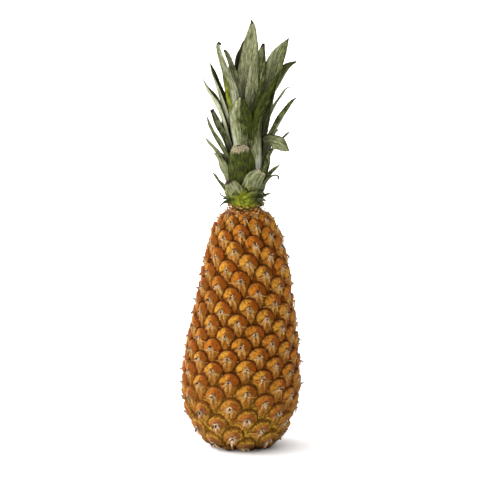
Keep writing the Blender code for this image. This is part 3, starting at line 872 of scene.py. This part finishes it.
# The leaves that the photo shows. A keel has the depths of its foot and tip behind the axis, and then
# x, y and width from its foot to its tip.
SHOWN_LEAVES = {
    "back tall": Leaf((176, 172), 20, (0.35, 0.6), dried=8, deep=95, keel=seen_keel(
        (8, 14), (249, 170, 15), (249, 120, 19), (249, 85, 22), (248.6, 66, 23), (249.4, 55, 21.5),
        (250.8, 46, 17), (252.4, 38, 10.5), (253.4, 31, 5.5), (252.6, 26, 4), (250.5, 20.5, 0)
    )),
    "left of it, rolled": Leaf((205, 215), 55, (0.6, 0.35), dried=3, deep=60, keel=seen_keel(
        (10, 15), (241, 140, 10), (239, 100, 12), (236.5, 75, 12), (236, 62, 11), (238, 53, 7),
        (242, 48, 1)
    )),
    "right of it, blunt": Leaf((176, 168), 40, (0.5, 0.36), dried=7, deep=60, lopsided=-0.45, keel=seen_keel(
        (4, 11), (250, 150, 14), (252, 115, 19), (256, 85, 21), (259, 66, 18), (262, 54, 9),
        (263.5, 45, 3.5)
    )),
    "tall right": Leaf((150, 150), 34, (0.75, 0.36), dried=7, deep=60, lopsided=-0.3, keel=seen_keel(
        (4, 12), (260, 150, 14), (264.5, 120, 20), (269.5, 95, 25), (275, 75, 27), (279.5, 60, 21),
        (284.5, 48, 10), (289, 39, 0)
    )),
    "right upper back edge": Leaf((120, 120), 42, (0.6, 0.3), dried=4, deep=40, keel=seen_keel(
        (8, 8), (266, 130, 7), (271, 102, 8), (276, 81, 8), (281, 72, 6), (287, 66, 4),
        (296, 62.5, 0)
    )),
    "right upper": Leaf((8, 58), 28, (0.05, 0.2), dried=5, deep=-38, lopsided=-0.34, keel=seen_keel(
        (-7, 3), (255, 172, 14), (256, 150, 16), (258, 128.4, 17), (260.6, 116.6, 18),
        (265.7, 104.9, 16), (272.2, 93.9, 14.5), (278.8, 82.9, 13), (285.5, 72.7, 11),
        (291, 66.8, 7), (296.5, 63.7, 0)
    )),
    "right hooked": Leaf((60, 60), 30, (0.5, 0.4), dried=8, deep=30, keel=seen_keel(
        (4, 3), (264, 137, 7), (269, 120.5, 7), (273, 111, 6), (276.9, 103.3, 5.5),
        (281.6, 96.2, 4.5), (285.5, 90.8, 3.6), (289.4, 88.4, 3), (291.7, 90.4, 1)
    )),
    "right middle": Leaf((50, 70), 42, (0.35, 0.3), dried=5, deep=50, lopsided=-0.3, keel=seen_keel(
        (-2, -3), (263, 170, 9), (269, 148, 12), (275, 132, 13), (281.5, 120, 13), (288, 110, 10),
        (292, 104, 6), (296.5, 98.5, 0)
    )),
    "right small": Leaf((80, 90), 40, (0.3, 0.3), dried=3, deep=20, keel=seen_keel(
        (6, 6), (268, 160, 6), (274, 149, 7), (281, 140.5, 7), (286, 136, 5), (292, 130.5, 0)
    )),
    "right broad drooping": Leaf((14, -4), 14, (0.42, 0.3), dried=1, deep=12, lopsided=-0.1, keel=seen_keel(
        (-4, -14), (264, 144, 10), (270.5, 142, 13), (277, 143.8, 14.5), (283, 148, 10),
        (289.4, 152.3, 0)
    )),
    "right low upright": Leaf((40, 40), 30, (0.15, 0.2), dried=3, green=6, deep=24, keel=seen_keel(
        (-7, -7), (259, 198, 12), (264, 182, 12), (268, 166, 10), (269.5, 156, 6), (270, 150, 0)
    )),
    "right low slanting": Leaf((50, 70), 38, (0.25, 0.2), dried=4, green=5, deep=14, keel=seen_keel(
        (-5, -7), (257, 200, 10), (264, 186, 10), (270, 176, 9), (275, 170.5, 7),
        (282.5, 162.5, 0)
    )),
    "right low balled": Leaf((60, 90), 35, (0.4, 0.4), dried=11, green=4, deep=8, keel=seen_keel(
        (-8, -9), (257, 200, 8), (263, 189, 8), (268, 180.5, 6), (272.5, 176.8, 4),
        (276.5, 176.4, 4.5), (278, 178.6, 4), (276, 179.6, 2.5)
    )),
    "right base": Leaf((50, 75), 20, (0, 0), dried=3, green=3, deep=6, keel=seen_keel(
        (-9, -12), (250, 204, 11), (257, 200, 10), (263, 197, 8), (269, 194.5, 5.5),
        (274.5, 195, 0)
    )),
    "right base curling": Leaf((60, 60), 25, (0.5, 0.2), dried=4, green=2, deep=4, keel=seen_keel(
        (-11, -14), (250, 205, 9), (256, 202, 8), (261, 200.8, 7), (264.5, 201.2, 4.5),
        (266.5, 203.5, 0)
    )),
    "left tall, black tip": Leaf((-20, -45), 26, (0.5, 0.3), dried=9, deep=46, lopsided=-0.3, keel=seen_keel(
        (-4, 2), (238, 160, 12), (233, 120, 17), (229.5, 95, 17), (225, 75, 11), (220.5, 60, 7),
        (217.5, 49, 5.5), (218.5, 44.5, 5.5), (222, 46.5, 3)
    )),
    "left tall behind": Leaf((-150, -150), 45, (0.5, 0.4), dried=5, deep=50, keel=seen_keel(
        (3, 8), (240, 140, 10), (237, 100, 12), (232, 75, 12), (228.5, 62, 9), (225.5, 54, 5),
        (223.5, 51, 0)
    )),
    "left upper": Leaf((-118, -112), 48, (0.9, -0.3), dried=5, deep=30, keel=seen_keel(
        (0, 3), (236, 150, 9), (226, 118, 12), (219, 96, 13), (214, 80, 10), (211, 69, 5),
        (209.5, 62, 0)
    )),
    "left outer": Leaf((-112, -112), 48, (0.85, -0.3), dried=4, deep=30, keel=seen_keel(
        (-1, 0), (233, 150, 9), (222, 120, 12), (213, 101, 12), (207, 90, 7), (202.5, 79, 0)
    )),
    "left cut short": Leaf((-150, -150), 30, (0.5, 0.35), dried=2, deep=30, keel=seen_keel(
        (2, 2), (235, 165, 9), (227, 146, 10), (220.5, 130, 9), (215, 118, 6.5),
        (211.5, 110.5, 4.5)
    )),
    "left thin": Leaf((-75, -75), 40, (0.3, 0.3), dried=2, green=5, deep=20, keel=seen_keel(
        (-2, -3), (232, 170, 8), (223, 152, 10), (215, 139, 9), (209, 126, 6), (206.5, 112, 0)
    )),
    "left low outer": Leaf((-80, -80), 40, (0.5, 0.2), dried=2, green=4, deep=20, keel=seen_keel(
        (-3, -4), (229, 175, 8), (220, 159, 9), (213, 149, 8), (208, 143, 5), (204, 135, 0)
    )),
    "left rimmed": Leaf((-45, -60), 32, (0.55, 0.4), dried=2, green=24, keel=seen_keel(
        (-6, -8), (233, 200, 12), (228, 184, 14), (223, 170, 14), (218.5, 160, 9),
        (213.8, 153.5, 0)
    )),
    "left low": Leaf((-75, -75), 36, (0.1, 0.1), dried=5, green=18, keel=seen_keel(
        (-6, -8), (233, 203, 10), (226, 193, 11), (220, 184, 9), (216, 178, 6), (212, 171.5, 0)
    )),
    "left base hook": Leaf((-80, -90), 30, (0.3, 0.3), dried=9, keel=seen_keel(
        (-3, -3), (235, 203, 6), (228, 199, 5), (222.5, 196.5, 3.5), (220, 194, 3),
        (221.5, 192, 1.5)
    )),
    "left base small": Leaf((-80, -80), 25, (0.2, 0.2), dried=6, keel=seen_keel(
        (-8, -10), (236, 204, 6), (230, 201.5, 6), (226, 199.2, 5), (222.5, 199.8, 2.5),
        (221, 202, 0)
    )),
    "left base drooping": Leaf((-80, -70), 20, (0, 0), dried=4, green=3, keel=seen_keel(
        (-10, -13), (240, 205, 10), (233, 203.6, 9), (227, 203, 7), (223, 204, 4.5), (220, 208, 0)
    )),
    "front tall": Leaf((-4, -4), 26, (0.2, 0.2), dried=2, deep=-56, lopsided=0.7, keel=seen_keel(
        (-8, -13), (243, 185, 20), (242, 150, 25), (241, 132, 27), (240.3, 118, 25),
        (240.6, 108, 15), (241.4, 102, 7), (241.8, 99, 0)
    )),
    "front left tall": Leaf((-25, -35), 24, (0.62, 0.3), deep=46, lopsided=-0.3, keel=seen_keel(
        (-6, -4), (238, 160, 12), (234, 130, 14), (231, 108, 15), (228, 90, 12), (224, 72, 6),
        (222, 62, 0)
    )),
    "front broad": Leaf((0, 0), 20, (-0.16, 0), dried=-11, green=3, deep=12, lopsided=0.12, keel=seen_keel(
        (-12, -20), (242.5, 206, 17), (242, 190, 22), (241.6, 176, 28), (241.6, 164, 29),
        (240.6, 156, 24), (239.4, 150.5, 17), (238.6, 147.6, 11)
    )),
    "front right low": Leaf((12, 20), 16, (0.48, 0.2), dried=-3, green=14, keel=seen_keel(
        (-14, -20), (248, 200, 16), (250.5, 190, 20), (254, 182.5, 20), (258.5, 176.5, 15),
        (262, 173, 8)
    )),
    "front left low": Leaf((-15, -20), 16, (0.5, 0.2), dried=4, green=15, keel=seen_keel(
        (-14, -19), (238, 205, 14), (235, 198, 19), (233, 191, 19), (230, 185, 12),
        (228, 182.5, 7)
    )),
    "front mid base": Leaf((0, 5), 25, (0.1, 0.1), dried=3, green=14, keel=seen_keel(
        (-16, -18), (240, 203, 10), (243, 198, 13), (244.5, 193, 11), (246, 188.5, 0)
    )),
    "front left base": Leaf((-20, -25), 30, (0.1, 0.1), dried=3, green=14, keel=seen_keel(
        (-18, -20), (241, 206, 9), (238, 202, 10), (235, 198, 8), (231.5, 194.5, 0)
    )),
    "front left lowest": Leaf((-50, -55), 30, (0, 0.1), dried=3, green=10, keel=seen_keel(
        (-15, -17), (240, 207, 7), (234, 204, 8), (228.5, 202, 6.5), (223, 202.5, 0)
    )),
    "front right base": Leaf((25, 40), 30, (0.1, 0.1), dried=4, green=16, keel=seen_keel(
        (-17, -19), (241, 204, 9), (248, 199.5, 11), (256, 194.5, 9), (265, 190, 0)
    )),
    "front lowest": Leaf((15, 30), 30, (0, 0.1), dried=4, green=12, keel=seen_keel(
        (-19, -21), (243, 207.5, 8), (247, 204.5, 10), (252, 201.5, 8), (259, 199.5, 0)
    )),
    "front right lowest": Leaf((40, 45), 30, (0, 0.1), dried=4, green=8, keel=seen_keel(
        (-15, -18), (250, 207.5, 8), (256, 205, 8), (261, 203.8, 6), (266, 203.8, 0)
    )),
    "left green edge": Leaf((-20, -24), 10, (0.15, 0.1), dried=1, green=34, keel=seen_keel(
        (-8, -7), (230.5, 112, 2), (229, 102, 3.4), (226.8, 90, 3.4), (224.5, 80, 2.5),
        (222.8, 70, 0)
    )),
}

INNER_LEAVES = 18
HIDDEN_LEAVES = 26
HIDDEN_FROM = 60
HIDDEN_SEED = 100
HIDDEN_SPREAD = math.radians(52)


def along_curve(stations, count):
    """Places evenly spread along a smooth curve through the stations, and its length."""
    fine = smooth_through(stations, 10 * count)
    steps = np.linalg.norm(np.diff(fine[:, :3], axis=0), axis=1)
    length = np.concatenate([[0.0], np.cumsum(steps)])
    at = np.linspace(0.0, length[-1], count)
    return np.column_stack([np.interp(at, length, axis) for axis in fine.T]), length[-1]


def faded(distance, length):
    """From one at the end of a blade to nothing at a distance of this length, or nothing without one."""
    return max(0.0, 1 - distance / length) if length > 0 else 0.0


def add_blade(bm, number, leaf):
    """A closed, channelled blade along its keel, with both faces, toothed margins and closed ends."""
    keel, length = along_curve(leaf.keel, BLADE_PARTS + 1)
    dice = random.Random(number)
    ahead = np.gradient(keel[:, :3], axis=0)
    ahead /= np.linalg.norm(ahead, axis=1)[:, None]
    front = np.tile([0.0, -1.0, 0.0], (BLADE_PARTS + 1, 1))
    front -= ahead * np.sum(front * ahead, axis=1)[:, None]
    front /= np.linalg.norm(front, axis=1)[:, None]
    beside = np.cross(ahead, front)
    share = np.linspace(0.0, 1.0, BLADE_PARTS + 1)
    turn = np.radians(leaf.turn[0] + (leaf.turn[1] - leaf.turn[0]) * share)
    turn += TWIST_WAVE * np.sin(math.tau * (1.3 * share + dice.random())) * share
    outward = front * np.cos(turn)[:, None] + beside * np.sin(turn)[:, None]
    sideways = np.cross(outward, ahead)
    folds = np.radians(leaf.fold) * (1 + FOLD_WAVE * np.sin(math.tau * (1.1 * share + dice.random())))
    sway = BLADE_SWAY * np.sin(math.tau * (1.7 * share + dice.random()))
    sway = sway * np.minimum(1, 4 * share * (1 - share))

    masks = {name: bm.verts.layers.float[name] for name in LEAF_MASKS}
    before = len(bm.verts)
    columns = 2 * BLADE_ROUND
    bmesh.ops.create_grid(bm, x_segments=columns, y_segments=BLADE_PARTS, size=0.5, calc_uvs=True)
    bm.verts.ensure_lookup_table()
    made = bm.verts[before:]
    for vert in made:
        part = round((vert.co.y + 0.5) * BLADE_PARTS)
        column = round((vert.co.x + 0.5) * columns)
        inner = column < BLADE_ROUND
        across = 2 * column / BLADE_ROUND - 1 if inner else 3 - 2 * column / BLADE_ROUND
        half = max(0.5 * keel[part, 3], LEAST_HALF)
        if abs(across) > 0.99:
            half += TOOTH * (part % 2) * min(1.0, half / 3)
        bow = folds[part] * (0.35 + 0.65 * abs(across))
        reach = half * across * math.cos(folds[part])
        depth = half * abs(across) ** 1.25 * math.sin(bow)
        thick = MARGIN_THICK + (BLADE_THICK - MARGIN_THICK) * (1 - across * across)
        thick *= min(1.0, half / 2.5) * 0.5 * (-1 if inner else 1)
        ripple = BLADE_RIPPLE * across * math.sin(0.55 * part + 9 * (number * LEAF_TO_LEAF % 1)) * share[part]
        spot = keel[part, :3] + sideways[part] * (reach + sway[part])
        spot = spot + outward[part] * (thick - depth + ripple)
        vert.co = Vector(spot * MM)
        from_foot = share[part] * length
        from_tip = (1 - share[part]) * length
        foot_bloom = FOOT_BLOOM * faded(from_foot, -leaf.deep)
        vert[masks["across"]] = half * across
        vert[masks["along"]] = from_foot
        vert[masks["bloom"]] = leaf.bloom[1 if inner else 0] + leaf.lopsided * across + foot_bloom
        vert[masks["green"]] = faded(from_foot, leaf.green)
        vert[masks["deep"]] = faded(from_foot, leaf.deep)
        vert[masks["dried"]] = faded(from_tip, abs(leaf.dried) + 0.01)
        vert[masks["bleached"]] = float(leaf.dried < 0)
        vert[masks["number"]] = number
    bmesh.ops.remove_doubles(bm, verts=made, dist=1e-6)


def hidden_leaf(index):
    """A leaf behind, which grows taller and stands more upright the further in it is."""
    dice = random.Random(HIDDEN_SEED + index)
    rise = index / (HIDDEN_LEAVES - 1)
    azimuth = math.pi + HIDDEN_SPREAD * (2 * (index * LEAF_TO_LEAF % 1) - 1)
    out_x, out_y = math.sin(azimuth), -math.cos(azimuth)
    tip_height = 234 + 118 * rise + dice.uniform(-5, 5)
    foot_height = CROWN_FOOT + 1 + 0.30 * max(tip_height - 250, 0)
    tip_out = 25 + 14 * math.sin(math.pi * rise) + dice.uniform(-3, 3)
    drooping = 1 - rise
    profile = (
        (9.0, 0.0, 12),
        (13.0 + 5 * drooping, 0.30 - 0.05 * drooping, 15 - 3 * rise),
        (0.62 * tip_out + 4, 0.62 + 0.10 * drooping, 14 - 3 * rise),
        (0.86 * tip_out, 0.88 + 0.14 * drooping, 8),
        (tip_out, 1.0, 0),
    )
    stations = []
    for out, up, width in profile:
        height = foot_height + (tip_height - foot_height) * up
        stations.append((CROWN_AXIS + out_x * out, out_y * out, height, width))
    turn = math.degrees(azimuth)
    return Leaf((turn, turn), 34, (0.5, 0.2), tuple(stations), dried=3, green=5, deep=30)


DARK_GREENS = ((0.009, 0.012, 0.001), (0.040, 0.049, 0.003))
PALE_GREENS = ((0.155, 0.162, 0.074), (0.275, 0.280, 0.155))
BLOOM_GREY = (0.36, 0.37, 0.29)
FOOT_SHADE_GREEN = (0.016, 0.018, 0.006)
FOOT_GREENS = ((0.034, 0.044, 0.002), (0.200, 0.210, 0.010))
DRY_TONES = ((0.010, 0.007, 0.004), (0.085, 0.050, 0.022))
TORN_TONES = ((0.06, 0.042, 0.015), (0.30, 0.26, 0.16))
leaf_look, tree, shader = new_material("crown_leaf")
across, along = attribute(tree, "across"), attribute(tree, "along")


def leaf_grain(wide, long, detail, roughness=0.5):
    """Grain that is stretched along the blade, and differs from leaf to leaf."""
    inputs = {0: times(tree, across, wide), 1: times(tree, along, long), 2: attribute(tree, "number")}
    return grain(tree, put(tree, "CombineXYZ", inputs).outputs[0], 1.0, detail, roughness)


def off_middle(value, strength):
    """A grain spread to both sides of nothing."""
    centred = put(tree, "Math", {0: value, 1: 0.5}, operation="SUBTRACT").outputs[0]
    return times(tree, centred, strength)


streak = leaf_grain(0.75, 0.035, 3.0, 0.6)
mottle = leaf_grain(0.45, 0.16, 5.0, 0.65)
dots = leaf_grain(1.0, 1.3, 2.0)
bloom = plus(tree, attribute(tree, "bloom"), off_middle(streak, 0.55))
bloom = plus(tree, bloom, off_middle(mottle, 1.7))
bloom = plus(tree, bloom, off_middle(dots, 0.8))
pale = two_tones(tree, streak, 0.35, 0.65, *PALE_GREENS)
pale = blended(tree, ranged(tree, bloom, 0.75, 1.25), pale, BLOOM_GREY)
green = two_tones(tree, mottle, 0.38, 0.62, *DARK_GREENS)
colour = blended(tree, ranged(tree, bloom, 0.10, 0.85, 0.0, 0.95), green, pale)
# Painted shade: the feet of the leaves deep in the crown darken towards a deep green
foot_shade_share = ranged(tree, attribute(tree, "deep"), 0.1, 0.7, 0.0, 0.8)
colour = blended(tree, foot_shade_share, colour, FOOT_SHADE_GREEN)
foot_green = two_tones(tree, mottle, 0.35, 0.65, *FOOT_GREENS)
colour = blended(tree, ranged(tree, attribute(tree, "green"), 0.0, 0.6), colour, foot_green)
dry = plus(tree, attribute(tree, "dried"), off_middle(mottle, 0.9))
dry_tone = two_tones(tree, streak, 0.45, 0.65, *DRY_TONES)
torn_tone = two_tones(tree, dots, 0.42, 0.56, *TORN_TONES)
dry_tone = blended(tree, attribute(tree, "bleached"), dry_tone, torn_tone)
colour = blended(tree, ranged(tree, dry, 0.30, 0.50), colour, dry_tone)
tree.links.new(colour, shader.inputs["Base Color"])
tree.links.new(ranged(tree, mottle, 0.3, 0.7, 0.42, 0.62), shader.inputs["Roughness"])
shader.inputs["Specular IOR Level"].default_value = 0.08
ribs = put(tree, "Bump", {"Strength": 0.5, "Distance": 0.0006, "Height": plus(tree, streak, mottle)})
tree.links.new(ribs.outputs[0], shader.inputs["Normal"])


def crown_piece(name, leaves):
    """A group of leaves as one mesh, each with its own strip of the picture that is baked for it."""
    bm = bmesh.new()
    for mask in LEAF_MASKS:
        bm.verts.layers.float.new(mask)
    bake = bm.loops.layers.uv.new("OFBake")
    for strip, (number, leaf) in enumerate(leaves):
        before = len(bm.faces)
        add_blade(bm, number, leaf)
        bm.faces.ensure_lookup_table()
        for face in bm.faces[before:]:
            for loop in face.loops:
                loop[bake].uv.x = (strip + 0.02 + 0.96 * loop[bake].uv.x) / len(leaves)
    bmesh.ops.holes_fill(bm, edges=[edge for edge in bm.edges if edge.is_boundary])
    bmesh.ops.recalc_face_normals(bm, faces=bm.faces)
    leaf_mesh = mesh_from(bm, name)
    leaf_mesh.shade_smooth()
    leaf_mesh.materials.append(leaf_look)
    piece = new_object(name, leaf_mesh)
    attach(piece, "root")
    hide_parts("crown")


shown = list(enumerate(SHOWN_LEAVES.values()))
crown_piece("crown_inner", shown[:INNER_LEAVES])
crown_piece("crown_outer", shown[INNER_LEAVES:])
crown_piece("crown_back", [(HIDDEN_FROM + index, hidden_leaf(index)) for index in range(HIDDEN_LEAVES)])

# The heart of the crown. The short stem and the leaf bases round it close the crown below, where
# the leaves part. It is dark green and lies almost wholly in shadow.
HEART_FOOT = 0.2195
HEART_TOP = 0.2660
HEART_SIDES = 28
HEART_RINGS = 12
HEART_RADIUS = 0.0180
HEART_TAPER = 0.0065
HEART_TONES = ((0.014, 0.016, 0.003), (0.060, 0.064, 0.010))
HEART_PALE_FOOT = (0.17, 0.13, 0.022)
bm = bmesh.new()
bm.loops.layers.uv.new("OFBake")
bmesh.ops.create_uvsphere(bm, u_segments=HEART_SIDES, v_segments=HEART_RINGS, radius=1.0, calc_uvs=True)
for vert in bm.verts:
    up = 0.5 + 0.5 * vert.co.z
    radius = HEART_RADIUS - HEART_TAPER * up
    radius *= 1 + 0.07 * math.sin(5 * math.atan2(vert.co.y, vert.co.x))
    level = Vector((vert.co.x, vert.co.y, 0.0))
    level = level.normalized() * level.length**0.5 if level.length > 0 else level
    height = HEART_FOOT + (HEART_TOP - HEART_FOOT) * up
    vert.co = level * radius + Vector((CROWN_AXIS * MM, 0.0, height))
heart_mesh = mesh_from(bm, "crown_heart")
heart_mesh.shade_smooth()
crown_heart = new_object("crown_heart", heart_mesh)
heart_look, tree, shader = new_material("leaf_bases")
place = object_place(tree)
stripes = grain(tree, place, 260.0, 4.0)
shade = two_tones(tree, stripes, 0.35, 0.65, *HEART_TONES)
foot_share = ranged(tree, put(tree, "SeparateXYZ", {0: place}).outputs[2], 0.229, 0.223)
shade = blended(tree, foot_share, shade, HEART_PALE_FOOT)
tree.links.new(shade, shader.inputs["Base Color"])
tree.links.new(ranged(tree, stripes, 0.3, 0.7, 0.5, 0.7), shader.inputs["Roughness"])
shader.inputs["Specular IOR Level"].default_value = 0.08
heart_mesh.materials.append(heart_look)
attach(crown_heart, "root")
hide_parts("crown")
